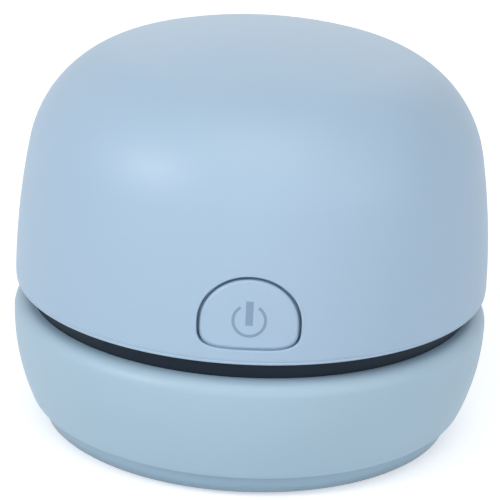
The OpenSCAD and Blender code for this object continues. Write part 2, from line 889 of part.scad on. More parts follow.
module impeller() {
    color("#d9dde2") difference() {
        union() {
            post([0, 0], hub_r, blade_z + 0.6, blade_h + back_t);
            post([0, 0], tip_r, blade_z + blade_h, back_t);
            for (i = [0 : blade_count - 1]) blade(360 * i / blade_count);
        }
        post([0, 0], shaft_r, blade_z - cut, blade_h + back_t + 3 * cut);
    }
}

// One blade: an arc from near the hub to the rim, sweeping back as it goes out
module blade(a) {
    sweep = 42;
    inner_r = hub_r + 4;
    steps = 7;
    line = [for (i = [0 : steps]) let (t = i / steps)
        polar(inner_r + (tip_r - 0.3 - inner_r) * t, a + sweep * t)];
    side = [for (i = [0 : steps]) let (
            d = unit(line[min(steps, i + 1)] - line[max(0, i - 1)]))
        blade_t / 2 * [-d.y, d.x]];
    translate([0, 0, blade_z]) linear_extrude(blade_h + back_t / 2) polygon(concat(
        [for (i = [0 : steps]) line[i] + side[i]],
        [for (i = [steps : -1 : 0]) line[i] - side[i]]));
}

// Insulated wire: straight at both ends, smoothly curved through the points between
module wire(p, shade) {
    last = len(p) - 1;
    color(shade)
        tube(concat([p[0]], curve([for (i = [1 : last - 1]) p[i]]), [p[last]]), wire_r);
}

module battery_leads() {
    tab_x = cell_l / 2 + tab_t + wire_r + 0.05;
    lead_z = cell_z + cell_r + 1;
    plug_x = connector_x[0] - 0.2;
    wire([[tab_x, cell_y, cell_z + 3], [tab_x, cell_y, lead_z], [19, 21, 51.5],
        [0, 20, 51.5], [-17, 17, 51.5], [-20, 2, 51], [-17, -12, 47], [-8, -19, 42],
        [plug_x + pin_pitch, pin_y + 3, pin_z], [plug_x + pin_pitch, pin_y, pin_z]], "#b03030");
    wire([[-tab_x, cell_y, cell_z + 3], [-tab_x, cell_y, lead_z], [-23.5, 15, 52],
        [-24.5, 2, 51], [-21, -14, 47], [-12, -21.5, 42],
        [plug_x - pin_pitch, pin_y + 3, pin_z], [plug_x - pin_pitch, pin_y, pin_z]], "#202226");
}

module motor_leads() {
    tip_z = can_top_z + terminal_h;
    for (s = [-1, 1]) {
        plug_x = connector_x[1] - 0.2 + s * pin_pitch;
        wire([[plug_x, pin_y, pin_z], [plug_x, pin_y + 3, pin_z], [s * 3, -19, 49],
            [s * 6, -16, 58], [s * 8, -11, tip_z], [s * 7.4, -3, tip_z + 2.2],
            [s * 7, 0, tip_z + 1.4], [s * 7, 0, tip_z]], s > 0 ? "#b03030" : "#202226");
    }
}

module charge_leads() {
    board_top_z = charge_z + board_t;
    for (s = [-1, 1]) {
        plug_x = connector_x[2] - 0.2 + s * pin_pitch;
        wire([[3 + s, charge_y0 + 1.2, board_top_z], [3 + s, charge_y0 + 1.2, board_top_z + 3],
            [6 + s, 30.6, 44], [10 + s, 28, 52], [15 + s, 20, 54.5], [17 + s, 4, 53],
            [15 + s, -12, 46], [plug_x, pin_y + 3, pin_z], [plug_x, pin_y, pin_z]],
            s > 0 ? "#b03030" : "#202226");
    }
}

module dust_cup() {
    n = 14;
    outer = concat(
        [for (i = [0 : n]) let (z = seam_z + (belly_z - seam_z) * i / n) [side_of_cup(z), z]],
        [for (a = [10 : 10 : 90])
            [rim_r + rim_in * cos(a), belly_z + roll_h * sin(a)]]);
    inner_top_z = belly_z - 0.6;
    inner = concat([[mouth_r, rim_z], [mouth_r, rim_z - lip_h]],
        [for (i = [n : -1 : 0]) let (z = floor_z + (inner_top_z - floor_z) * i / n)
            [side_of_cup(z) - cup_wall, z]]);
    color(blue) difference() {
        union() {
            rotate_extrude() polygon(concat([[0, seam_z]], outer, inner, [[0, floor_z]]));
            for (a = cover_screw_angles)
                post(polar(cover_screw_at, a), cup_boss_r, floor_z - cup_floor / 2,
                    cup_boss_h + cup_floor / 2);
        }
        block([0, 0], seam_z - cut, [duct_outer.x + 2 * duct_clear, duct_outer.y + 2 * duct_clear,
            cup_floor + 2 * cut]);
        block([0, 0], seam_z - cut, [duct_outer.x + 2 * (duct_foot + duct_clear),
            duct_outer.y + 2 * duct_clear, cut + duct_foot_t + duct_clear]);
        for (a = cover_screw_angles)
            post(polar(cover_screw_at, a), shell_screw_r + pilot_clear, seam_z - cut,
                cup_floor + cup_boss_h - bore_end + cut);
    }
}

// Duct that crumbs rise through, its foot held between the cup's floor and the bottom cover
module inlet_duct() {
    color(black_abs) difference() {
        union() {
            block([0, 0], seam_z, [duct_outer.x, duct_outer.y, cup_floor + inlet_duct_h]);
            block([0, 0], seam_z, [duct_outer.x + 2 * duct_foot, duct_outer.y, duct_foot_t]);
        }
        block([0, 0], seam_z - cut, [inlet_l, inlet_w, cup_floor + inlet_duct_h + 2 * cut]);
    }
}

// Opening for a brush strip's body, s is its side
module brush_slot(s) {
    block([0, s * brush_y], plate_z - cut, [brush_l, brush_w + 2 * brush_clear, plate_t + 2 * cut]);
}

module bottom_cover() {
    top_r = seam_r - seam_step;
    wall = 2;
    edge = [0.5, 0.35]; // rounding of the lower edge
    z1 = plate_z + plate_t;
    color(dark_blue) difference() {
        union() {
            rotate_extrude() polygon([[0, plate_z], [foot_r - edge.x, plate_z],
                [foot_r, plate_z + edge.y], [top_r, seam_z], [top_r - wall, seam_z],
                [foot_r - wall, z1], [0, z1]]);
            block([0, 0], plate_z, [duct_outer.x + 2 * duct_foot, duct_outer.y, cover_h]);
            for (a = cover_screw_angles)
                post(polar(cover_screw_at, a), cover_head_r + 1.2, plate_z + plate_t / 2,
                    cover_h - plate_t / 2);
        }
        block([0, 0], plate_z - cut, [inlet_l, inlet_w, cover_h + 2 * cut]);
        for (s = [-1, 1]) brush_slot(s);
        for (a = cover_screw_angles) {
            post(polar(cover_screw_at, a), cover_head_r + 0.2, plate_z - cut, cover_seat + cut);
            post(polar(cover_screw_at, a), shell_screw_r + 0.1, plate_z, cover_h + cut);
        }
        for (a = pad_angles)
            post(polar(pad_at, a), pad_d / 2 + 0.1, plate_z - cut, pad_seat + cut);
    }
}

module cover_screws() {
    color(steel) for (a = cover_screw_angles)
        screw_up(polar(cover_screw_at, a), plate_z + cover_seat - cover_head_h, cover_head_r,
            cover_head_h, shell_screw_r, cover_h - cover_seat + cup_floor + cover_screw_depth);
}

// Brush strip: a backing clamped above the bottom cover, with two rows of tufts
module brush(s) {
    z1 = plate_z + plate_t;
    body_z = plate_z + 0.6;
    tip_z = 0.1;
    pitch = (brush_l - 3) / (tuft_count - 1);
    union() {
        color("#2b2d31") block([0, s * brush_y], z1,
            [brush_l + 2, brush_w + 2.2, seam_z - z1 - 0.1]);
        color("#2b2d31") block([0, s * brush_y], body_z,
            [brush_l - 2 * brush_clear, brush_w, z1 - body_z]);
        color("#3f4450") for (i = [0 : tuft_count - 1]) for (row = [-0.9, 0.9])
            post([pitch * (i - (tuft_count - 1) / 2), s * brush_y + row], tuft_d / 2, tip_z,
                body_z - tip_z);
    }
}

module brush_front() {
    brush(-1);
}

module brush_rear() {
    brush(1);
}

module glide_pads() {
    color("#4b4f57") for (a = pad_angles)
        post(polar(pad_at, a), pad_d / 2, 0, pad_proud + pad_seat);
}

upper_shell();
shell_screws();
inner_frame();
fan_cover();
fan_cover_screws();
seal_ring();
filter_frame();
filter_mesh();
filter_foam();
button_cap();
power_icon();
switch_plunger();
switch_body();
main_pcb();
pcb_components();
pcb_connectors();
pcb_screws();
charge_pcb();
charge_screws();
usb_socket();
usb_tongue();
battery_cell();
battery_terminals();
motor_can();
motor_endcap();
motor_magnets();
motor_bush_front();
motor_bush_rear();
motor_brushes();
motor_terminals();
motor_screws();
motor_shaft();
motor_armature();
motor_windings();
motor_commutator();
impeller();
battery_leads();
motor_leads();
charge_leads();
dust_cup();
inlet_duct();
bottom_cover();
cover_screws();
brush_front();
brush_rear();
glide_pads();
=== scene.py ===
import math

import bpy
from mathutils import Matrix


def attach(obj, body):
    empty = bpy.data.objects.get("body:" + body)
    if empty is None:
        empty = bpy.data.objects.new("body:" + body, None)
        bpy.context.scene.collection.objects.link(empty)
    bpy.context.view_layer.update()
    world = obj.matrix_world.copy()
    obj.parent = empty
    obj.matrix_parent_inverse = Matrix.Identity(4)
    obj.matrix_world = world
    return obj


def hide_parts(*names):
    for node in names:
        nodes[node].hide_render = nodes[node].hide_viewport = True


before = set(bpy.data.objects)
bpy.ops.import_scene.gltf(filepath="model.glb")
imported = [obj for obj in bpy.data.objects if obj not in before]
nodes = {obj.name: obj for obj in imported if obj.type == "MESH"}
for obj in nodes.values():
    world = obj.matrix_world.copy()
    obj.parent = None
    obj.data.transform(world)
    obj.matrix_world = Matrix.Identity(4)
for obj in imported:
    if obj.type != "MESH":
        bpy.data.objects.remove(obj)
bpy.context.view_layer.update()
mm = 0.001


# ---- Camera -----------------------------------------------------------------
# A long lens in front of the part and a little above it, rolled a little about its own
# line of sight, as the product was photographed.
centre = (0.0, 0.0, 38 * mm)
distance = 440 * mm
elevation = math.radians(19.40)
roll = math.radians(2.46)
aim_right, aim_up = -0.417 * mm, -5.9 * mm
focal_length, sensor_width = 174.8, 36

eye = (0.0, -distance * math.cos(elevation), centre[2] + distance * math.sin(elevation))
aim = (
    aim_right,
    aim_up * math.sin(elevation),
    centre[2] + aim_up * math.cos(elevation),
)
bpy.ops.object.select_all(action="DESELECT")
bpy.ops.object.camera_add(location=eye)
camera = bpy.context.object
camera.data.lens = focal_length
camera.data.sensor_width = sensor_width
camera.data.clip_start = 0.01
to_aim = [a - e for a, e in zip(aim, eye)]
yaw = math.atan2(-to_aim[0], to_aim[1])
pitch = math.atan2(math.hypot(to_aim[0], to_aim[1]), -to_aim[2])
camera.rotation_euler = (pitch, 0.0, yaw)
camera.rotation_euler.rotate_axis("Z", roll)
bpy.context.scene.camera = camera


# ---- Desk and studio ----------------------------------------------------------
# A pale matt board under the part, a soft box high on the left, a larger one and a fill
# in front, bounces on the right and behind, and an even sky. Board and sky look white
# because their own materials glow for the camera, and not by more light on the part.
def linear(hex_colour):
    """The linear colour of an sRGB hex value."""
    parts = [int(hex_colour[i : i + 2], 16) / 255 for i in (1, 3, 5)]
    colour = [p / 12.92 if p <= 0.04045 else ((p + 0.055) / 1.055) ** 2.4 for p in parts]
    return colour + [1.0]


def add(tree, kind, settings=None, links=None):
    """Adds one shader node, with its settings and the sockets that feed it."""
    node = tree.nodes.new("ShaderNode" + kind)
    for name, value in (settings or {}).items():
        if isinstance(name, int) or name in node.inputs:
            node.inputs[name].default_value = value
        else:
            setattr(node, name, value)
    for name, source in (links or {}).items():
        tree.links.new(source, node.inputs[name])
    return node


def start(name):
    """A new empty material and its tree."""
    material = bpy.data.materials.new(name)
    material.use_nodes = True
    material.node_tree.nodes.clear()
    return material, material.node_tree


def seen_share(tree):
    """One for rays from the camera, through glass or off gloss, else nought."""
    path = add(tree, "LightPath")
    seen = add(
        tree, "Math", {"operation": "MAXIMUM"},
        {0: path.outputs["Is Camera Ray"], 1: path.outputs["Is Transmission Ray"]},
    )
    seen = add(
        tree, "Math", {"operation": "MAXIMUM"},
        {0: seen.outputs[0], 1: path.outputs["Is Glossy Ray"]},
    )
    return seen.outputs[0]


world = bpy.data.worlds.new("pale_sky")
bpy.context.scene.world = world
world.use_nodes = True
tree = world.node_tree
tree.nodes.clear()
seen = seen_share(tree)
light = add(tree, "Background", {"Color": linear("#eef3fa"), "Strength": 0.33})
white = add(tree, "Background", {"Color": (1, 1, 1, 1), "Strength": 1.0})
mix = add(tree, "MixShader", None, {0: seen, 1: light.outputs[0], 2: white.outputs[0]})
add(tree, "OutputWorld", None, {"Surface": mix.outputs[0]})

board_size, board_drop = 6.0, 0.02 * mm
glow_start, glow_end, near_glow, far_glow = 0.3, 1.6, 0.5, 0.85
bpy.ops.object.select_all(action="DESELECT")
bpy.ops.mesh.primitive_plane_add(size=board_size, location=(0, 0, -board_drop))
floor = bpy.context.object
floor.name = "floor"
matt_board, tree = start("pale_matt_board")
board = add(tree, "BsdfDiffuse", {"Color": linear("#eceef0")})
where = add(tree, "TexCoord").outputs["Object"]
away = add(tree, "VectorMath", {"operation": "LENGTH"}, {0: where})
share = add(
    tree, "MapRange",
    {
        "From Min": glow_start, "From Max": glow_end, "To Min": near_glow,
        "To Max": far_glow,
    },
    {"Value": away.outputs["Value"]},
)
share = add(
    tree, "Math", {"operation": "MULTIPLY"},
    {0: seen_share(tree), 1: share.outputs["Result"]},
)
glow = add(tree, "Emission", {"Color": (1, 1, 1, 1)}, {"Strength": share.outputs[0]})
both = add(tree, "AddShader", None, {0: board.outputs[0], 1: glow.outputs[0]})
add(tree, "OutputMaterial", None, {"Surface": both.outputs[0]})
floor.data.materials.append(matt_board)

# Square lamps that face the part: place and size in metres, power in watts.
for name, place, size, power, tint in (
    ("key_softbox", (-0.81, -0.53, 0.56), 0.38, 4.4, "#fbfcff"),
    ("front_softbox", (0.05, -0.50, 0.95), 0.70, 3.25, "#fff9f2"),
    ("front_fill", (0.10, -1.15, 0.22), 0.80, 2.0, "#ffffff"),
    ("right_bounce", (0.85, -0.62, 0.34), 0.90, 2.7, "#f5f9ff"),
    ("rear_bounce", (0.10, 0.90, 0.60), 0.90, 1.5, "#ffffff"),
):
    bpy.ops.object.light_add(type="AREA", location=place)
    lamp = bpy.context.object
    lamp.name = name
    lamp.data.size = size
    lamp.data.energy = power
    lamp.data.color = linear(tint)[:3]
    lamp.rotation_euler = (
        math.atan2(math.hypot(place[0], place[1]), place[2] - centre[2]),
        0.0,
        math.atan2(place[0], -place[1]),
    )

bpy.context.scene.view_settings.view_transform = "Standard"


# ---- Dust cup -----------------------------------------------------------------
# The round tub that the head stands on and that holds the crumbs. It is moulded in
# pale blue ABS, with a rolled shoulder under its rim and a satin, finely sparked skin.
def arc(x, z, r, start_angle, end_angle, n):
    """Points of an arc in the X-Z plane, in millimetres and degrees."""
    points = []
    for i in range(n + 1):
        a = math.radians(start_angle + (end_angle - start_angle) * i / n)
        points.append((x + r * math.cos(a), z + r * math.sin(a)))
    return points


# Points of a mesh that are nearer to each other than this, in metres, are merged.
weld = 1e-6


def lathe(name, outline, steps=320):
    """Draws a closed outline in the X-Z plane, point by point, and spins it round."""
    bpy.ops.object.select_all(action="DESELECT")
    bpy.ops.mesh.primitive_plane_add(size=mm)
    piece = bpy.context.object
    piece.name = name
    bpy.ops.object.mode_set(mode="EDIT")
    bpy.ops.mesh.merge(type="CENTER")
    x, z = outline[0]
    bpy.ops.transform.translate(value=(x * mm, 0, z * mm))
    for nx, nz in outline[1:] + outline[:1]:
        bpy.ops.mesh.extrude_region_move(
            TRANSFORM_OT_translate={"value": ((nx - x) * mm, 0, (nz - z) * mm)}
        )
        x, z = nx, nz
    bpy.ops.mesh.select_all(action="SELECT")
    bpy.ops.mesh.remove_doubles(threshold=weld)
    bpy.ops.mesh.spin(steps=steps, angle=math.tau, center=(0, 0, 0), axis=(0, 0, 1))
    bpy.ops.mesh.select_all(action="SELECT")
    bpy.ops.mesh.remove_doubles(threshold=2 * weld)
    bpy.ops.mesh.delete_loose()
    bpy.ops.mesh.select_all(action="SELECT")
    bpy.ops.mesh.normals_make_consistent(inside=False)
    bpy.ops.object.mode_set(mode="OBJECT")
    return piece


def box(name, centre_x, centre_y, z0, size, edge=0.0):
    """A block given by its centre in X and Y, its lowest level and its size, in mm."""
    bpy.ops.object.select_all(action="DESELECT")
    bpy.ops.mesh.primitive_cube_add(size=1)
    piece = bpy.context.object
    piece.name = name
    bpy.ops.object.mode_set(mode="EDIT")
    bpy.ops.transform.resize(value=(size[0] * mm, size[1] * mm, size[2] * mm))
    bpy.ops.transform.translate(
        value=(centre_x * mm, centre_y * mm, (z0 + size[2] / 2) * mm)
    )
    if edge:
        bpy.ops.mesh.bevel(offset=edge * mm, segments=3)
    bpy.ops.object.mode_set(mode="OBJECT")
    return piece


def post(name, x, y, z0, r, h, sides=48):
    """An upright round post, in mm."""
    bpy.ops.object.select_all(action="DESELECT")
    bpy.ops.mesh.primitive_cylinder_add(vertices=sides, radius=r * mm, depth=h * mm)
    piece = bpy.context.object
    piece.name = name
    bpy.ops.object.mode_set(mode="EDIT")
    bpy.ops.transform.translate(value=(x * mm, y * mm, (z0 + h / 2) * mm))
    bpy.ops.object.mode_set(mode="OBJECT")
    return piece


def pick(piece):
    """Selects one piece alone and makes it the active one."""
    bpy.ops.object.select_all(action="DESELECT")
    piece.select_set(True)
    bpy.context.view_layer.objects.active = piece


def combine(piece, tools, how):
    """Adds each tool, cuts it away or keeps what is inside it, and deletes the tool."""
    for tool in tools:
        pick(piece)
        boolean = piece.modifiers.new("join", "BOOLEAN")
        boolean.operation = how
        boolean.solver = "EXACT"
        boolean.object = tool
        bpy.ops.object.modifier_apply(modifier=boolean.name)
        bpy.data.objects.remove(tool)
    return piece


def finish(piece, material, body, node, angle=35):
    """Smooths a piece, gives it its material and puts it in its CAD node's place."""
    pick(piece)
    bpy.ops.object.shade_smooth_by_angle(angle=math.radians(angle))
    piece.data.materials.clear()
    piece.data.materials.append(material)
    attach(piece, body)
    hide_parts(node)


cup_r, rim_r, seam_r = 43.0, 40.4, 39.6
seam_z, floor_z, belly_z, rim_z = 4.7, 6.2, 20.9, 23.5
mouth_r, mouth_depth, cup_wall, swell = 38.6, 1.8, 1.8, 2.1
seam_ease, rim_ease, rim_round = 0.15, 0.25, 0.3
floor_round, floor_in, side_steps = 1.2, 1.3, 30
boss_ring, boss_r, boss_h, boss_sink = 29.5, 2.8, 5.7, 0.7
pilot_r, pilot_h = 1.15, 6.5
mouth_hole, mouth_step = (34.6, 13.6, 4), (37.6, 13.6, 1.8)


def cup_side(z):
    """Radius of the cup's outside between the parting line and the belly."""
    t = min(1.0, (z - seam_z) / (belly_z - seam_z))
    return cup_r - (cup_r - seam_r) * (1 - t) ** swell


levels = [
    seam_z + (belly_z - seam_z) * i / side_steps for i in range(side_steps + 1)
]
outside = [(cup_side(z), z) for z in levels]
shoulder = [
    (rim_r - rim_ease + (cup_r - rim_r + rim_ease) * math.cos(math.radians(a)),
     belly_z + (rim_z - belly_z) * math.sin(math.radians(a)))
    for a in range(5, 91, 5)
]
rim = arc(mouth_r + rim_round, rim_z - rim_round, rim_round, 90, 180, 4)
# The wall inside stops short of the mouth above and of the floor's rounding below.
inside = [(mouth_r, rim_z - mouth_depth)] + [
    (cup_side(z) - cup_wall, z) for z in reversed(levels[3:-2])
]
cup = lathe(
    "dust_cup_shell",
    [(0, seam_z), (seam_r - seam_ease, seam_z)]
    + outside[1:] + shoulder + rim + inside
    + arc(seam_r - cup_wall - floor_in, floor_z + floor_round, floor_round, 0, -90, 6)
    + [(0, floor_z)],
)
boss_places = [
    (boss_ring * math.cos(math.radians(a)), boss_ring * math.sin(math.radians(a)))
    for a in (45, 135, 225, 315)
]
bosses = [
    post("boss", x, y, floor_z - boss_sink, boss_r, boss_h) for x, y in boss_places
]
combine(cup, bosses, "UNION")
cut_z = seam_z - 1
holes = [box("hole", 0, 0, cut_z, size) for size in (mouth_hole, mouth_step)]
holes += [post("hole", x, y, cut_z, pilot_r, pilot_h, 32) for x, y in boss_places]
combine(cup, holes, "DIFFERENCE")


# The skin is ABS moulded against a lightly sparked tool: satin, with a grain of about
# 0.3 mm that only softens the highlights, and a slow drift in tint from mould flow.
# Patterns are laid in metres: a noise or a cell of scale 1000 is about 1 mm across, and
# a wave of scale 314 has a band every 1 mm.
def satin_abs(name, body_hex, drift_hex, roughness):
    material, tree = start(name)
    where = add(tree, "TexCoord").outputs["Object"]
    flow = add(
        tree, "TexNoise", {"Scale": 22.0, "Detail": 2.0, "Roughness": 0.45},
        {"Vector": where},
    )
    tint = add(
        tree, "Mix", {"data_type": "RGBA", 6: linear(body_hex), 7: linear(drift_hex)},
        {0: flow.outputs["Fac"]},
    )
    grain = add(
        tree, "TexNoise", {"Scale": 3300.0, "Detail": 2.0, "Roughness": 0.6},
        {"Vector": where},
    )
    gloss = add(
        tree, "MapRange", {"To Min": roughness - 0.04, "To Max": roughness + 0.05},
        {"Value": grain.outputs["Fac"]},
    )
    sparks = add(
        tree, "Bump", {"Strength": 0.10, "Distance": 0.02 * mm},
        {"Height": grain.outputs["Fac"]},
    )
    skin = add(
        tree, "BsdfPrincipled",
        {"IOR": 1.53, "Specular IOR Level": 0.45},
        {
            "Base Color": tint.outputs[2], "Roughness": gloss.outputs["Result"],
            "Normal": sparks.outputs["Normal"],
        },
    )
    add(tree, "OutputMaterial", None, {"Surface": skin.outputs[0]})
    return material


cup_abs = satin_abs("satin_moulded_abs_cup", "#a7c3d3", "#acc6d7", 0.44)
finish(cup, cup_abs, "base", "dust_cup")


# ---- Inlet duct ----------------------------------------------------------------
# The oblong chimney that lets crumbs in through the cup's floor and keeps them from
# falling back. It is moulded in black ABS with a fine spark texture and glued in.
def cleaned(node, name, edge=0.0, decks=True):
    """A copy of a CAD node with its loose triangles merged and its edges eased. With
    decks off its level faces keep their triangles, which suits ones full of holes."""
    flat, sharp, level = math.radians(0.5), math.radians(50), 0.9
    pick(nodes[node])
    bpy.ops.object.duplicate()
    piece = bpy.context.object
    piece.name = name
    for key in list(piece.keys()):
        del piece[key]
    bpy.ops.object.mode_set(mode="EDIT")
    bpy.ops.mesh.select_mode(type="FACE")
    bpy.ops.mesh.select_all(action="SELECT")
    bpy.ops.mesh.remove_doubles(threshold=weld)
    if not decks:
        bpy.ops.mesh.select_all(action="DESELECT")
        bpy.ops.object.mode_set(mode="OBJECT")
        for face in piece.data.polygons:
            face.select = abs(face.normal.z) < level
        bpy.ops.object.mode_set(mode="EDIT")
    bpy.ops.mesh.dissolve_limited(angle_limit=flat, use_dissolve_boundaries=True)
    bpy.ops.mesh.select_mode(type="VERT")
    bpy.ops.object.mode_set(mode="OBJECT")
    if edge:
        bevel = piece.modifiers.new("eased", "BEVEL")
        bevel.width = edge * mm
        bevel.segments = 2
        bevel.limit_method = "ANGLE"
        bevel.angle_limit = sharp
        bpy.ops.object.modifier_apply(modifier=bevel.name)
    return piece


def dress(node, name, edge, material, body, angle=30, decks=True):
    """Puts a cleaned copy of a CAD node in its place, in its own material."""
    finish(cleaned(node, name, edge, decks), material, body, node, angle)


# Black ABS off a finely sparked tool: a deep blue-black with a soft sheen, a grain of
# about 0.4 mm and slow clouds from mould flow.
black_abs, tree = start("black_moulded_abs")
where = add(tree, "TexCoord").outputs["Object"]
grain = add(tree, "TexNoise", {"Scale": 2600.0, "Detail": 2.0}, {"Vector": where})
cloud = add(tree, "TexNoise", {"Scale": 60.0, "Detail": 2.0}, {"Vector": where})
tint = add(
    tree, "Mix", {"data_type": "RGBA", 6: linear("#121f2c"), 7: linear("#172532")},
    {0: cloud.outputs["Fac"]},
)
gloss = add(
    tree, "MapRange", {"To Min": 0.42, "To Max": 0.56},
    {"Value": grain.outputs["Fac"]},
)
sparks = add(
    tree, "Bump", {"Strength": 0.12, "Distance": 0.02 * mm},
    {"Height": grain.outputs["Fac"]},
)
skin = add(
    tree, "BsdfPrincipled", {"IOR": 1.52, "Specular IOR Level": 0.2},
    {
        "Base Color": tint.outputs[2], "Roughness": gloss.outputs["Result"],
        "Normal": sparks.outputs["Normal"],
    },
)
add(tree, "OutputMaterial", None, {"Surface": skin.outputs[0]})
dress("inlet_duct", "inlet_chimney", 0.12, black_abs, "base")


# ---- Bottom cover --------------------------------------------------------------
# The lower band and sole of the part, moulded in pale blue ABS and screwed to the cup
# from below, with the mouth, two brush slots and screw wells in its sole.
# Its tint is set a deeper blue than the cup's: painted shade for the band under the cup's
# overhang.
sole_abs_painted_shade = satin_abs("satin_abs_sole_painted_shade", "#98b4c6", "#9cb8ca", 0.46)
dress("bottom_cover", "foot_cover", 0.12, sole_abs_painted_shade, "base")


# ---- Brush strips -------------------------------------------------------------
# Two strips of black nylon bristle in front of and behind the mouth. The filaments are
# crimped in tufts into a black backing that is clamped between cup and sole.
def mottled(name, scale, detail, low_hex, high_hex, sockets, relief=None):
    """A material whose tint follows one noise, and its relief too where it has any: the
    strength of the bumps and their height in mm."""
    material, tree = start(name)
    where = add(tree, "TexCoord").outputs["Object"]
    noise = add(tree, "TexNoise", {"Scale": scale, "Detail": detail}, {"Vector": where})
    tint = add(
        tree, "Mix", {"data_type": "RGBA", 6: linear(low_hex), 7: linear(high_hex)},
        {0: noise.outputs["Fac"]},
    )
    links = {"Base Color": tint.outputs[2]}
    if relief:
        bump = add(
            tree, "Bump", {"Strength": relief[0], "Distance": relief[1] * mm},
            {"Height": noise.outputs["Fac"]},
        )
        links["Normal"] = bump.outputs["Normal"]
    skin = add(tree, "BsdfPrincipled", sockets, links)
    add(tree, "OutputMaterial", None, {"Surface": skin.outputs[0]})
    return material


# The filaments are extruded nylon: dark, glossy, and streaked about every 0.4 mm.
nylon = mottled(
    "extruded_nylon_bristle", 2400.0, 2.0, "#23262b", "#474d57",
    {"Roughness": 0.35, "IOR": 1.53},
)
brush_y, brush_length, end_margin, tufts = 10.0, 41.0, 3, 20
tip_r, root_r, bristle_h, bristle_z = 0.07, 0.11, 1.7, 0.95
bristles, bristle_gap, bristle_turn = 17, 0.13, 2.4
row_offset, row_turn = 0.9, 1.1
clamp_z, clamp_size, clamp_edge = 2.7, (43, 6, 1.9), 0.15
lower_z, lower_size, lower_edge = 1.3, (40.4, 3.8, 1.5), 0.1


def join(piece, part):
    """Makes a part one mesh with a piece."""
    pick(piece)
    part.select_set(True)
    bpy.ops.object.join()


for node, name, side in (
    ("brush_front", "bristles_front", -1),
    ("brush_rear", "bristles_rear", 1),
):
    bpy.ops.object.select_all(action="DESELECT")
    bpy.ops.mesh.primitive_cone_add(
        vertices=5, radius1=tip_r * mm, radius2=root_r * mm, depth=bristle_h * mm
    )
    strip = bpy.context.object
    strip.name = name
    bpy.ops.object.mode_set(mode="EDIT")
    bpy.ops.transform.translate(value=(0, 0, bristle_z * mm))
    # One tuft: bristles set round the first one in an opening spiral.
    last = (0.0, 0.0)
    for number in range(1, bristles):
        spread = bristle_gap * math.sqrt(number) * mm
        turn = bristle_turn * number
        bpy.ops.mesh.duplicate()
        place = (spread * math.cos(turn), spread * math.sin(turn))
        bpy.ops.transform.translate(value=(place[0] - last[0], place[1] - last[1], 0))
        last = place
    # A second tuft behind it, turned, then copies of both along the strip.
    bpy.ops.mesh.select_all(action="SELECT")
    bpy.ops.mesh.duplicate()
    bpy.ops.transform.rotate(value=row_turn, orient_axis="Z", center_override=(0, 0, 0))
    bpy.ops.transform.translate(value=(0, row_offset * mm, 0))
    bpy.ops.mesh.select_all(action="INVERT")
    bpy.ops.transform.translate(value=(0, -row_offset * mm, 0))
    bpy.ops.mesh.select_all(action="SELECT")
    bpy.ops.transform.translate(
        value=(-(brush_length - end_margin) / 2 * mm, side * brush_y * mm, 0)
    )
    tuft_pitch = (brush_length - end_margin) / (tufts - 1) * mm
    for number in range(1, tufts):
        bpy.ops.mesh.duplicate()
        bpy.ops.transform.translate(value=(tuft_pitch, 0, 0))
    bpy.ops.object.mode_set(mode="OBJECT")
    for part in (
        box("backing", 0, side * brush_y, clamp_z, clamp_size, clamp_edge),
        box("backing", 0, side * brush_y, lower_z, lower_size, lower_edge),
    ):
        join(strip, part)
    finish(strip, nylon, "base", node, angle=40)


# ---- Glide pads ---------------------------------------------------------------
# Four round pads that the part slides on, moulded in grey silicone rubber and stuck in
# shallow wells of the sole. The rubber is matt and mottled by the dust that it holds.
silicone = mottled(
    "moulded_silicone_rubber", 700.0, 4.0, "#5c636b", "#767d85",
    {"Roughness": 0.62, "IOR": 1.43}, relief=(0.2, 0.03),
)
dress("glide_pads", "glide_feet", 0.2, silicone, "base")


# ---- Screws -------------------------------------------------------------------
# Pan-head self-tapping screws that hold the sole, dome, fan plate, boards and motor. They
# are rolled from steel, tumbled and zinc plated: bright, with faint marks of about 0.3 mm
# and a slightly yellow cast.
zinc_steel, tree = start("zinc_plated_steel")
where = add(tree, "TexCoord").outputs["Object"]
marks = add(tree, "TexNoise", {"Scale": 3000.0, "Detail": 3.0}, {"Vector": where})
tint = add(
    tree, "Mix", {"data_type": "RGBA", 6: linear("#b4b6b4"), 7: linear("#cfd0cb")},
    {0: marks.outputs["Fac"]},
)
gloss = add(
    tree, "MapRange", {"To Min": 0.22, "To Max": 0.42},
    {"Value": marks.outputs["Fac"]},
)
steel = add(
    tree, "BsdfPrincipled", {"Metallic": 1.0},
    {"Base Color": tint.outputs[2], "Roughness": gloss.outputs["Result"]},
)
add(tree, "OutputMaterial", None, {"Surface": steel.outputs[0]})
for node, name, body in (
    ("cover_screws", "sole_screws", "base"),
    ("shell_screws", "dome_screws", "head"),
    ("fan_cover_screws", "plate_screws", "head"),
    ("pcb_screws", "board_screws", "head"),
    ("charge_screws", "socket_screws", "head"),
    ("motor_screws", "flange_screws", "head"),
):
    dress(node, name, 0.06, zinc_steel, body)


# ---- Inner frame --------------------------------------------------------------
# The black ABS frame in the middle: a collar that shows as the dark band, a skirt
# that drops into the cup, and above it the deck that carries motor, cell and boards.
# Only facets that nearly line up are smoothed, so that the collar stays crisp.
dress("inner_frame", "collar_frame", 0.0, black_abs, "head", angle=15)


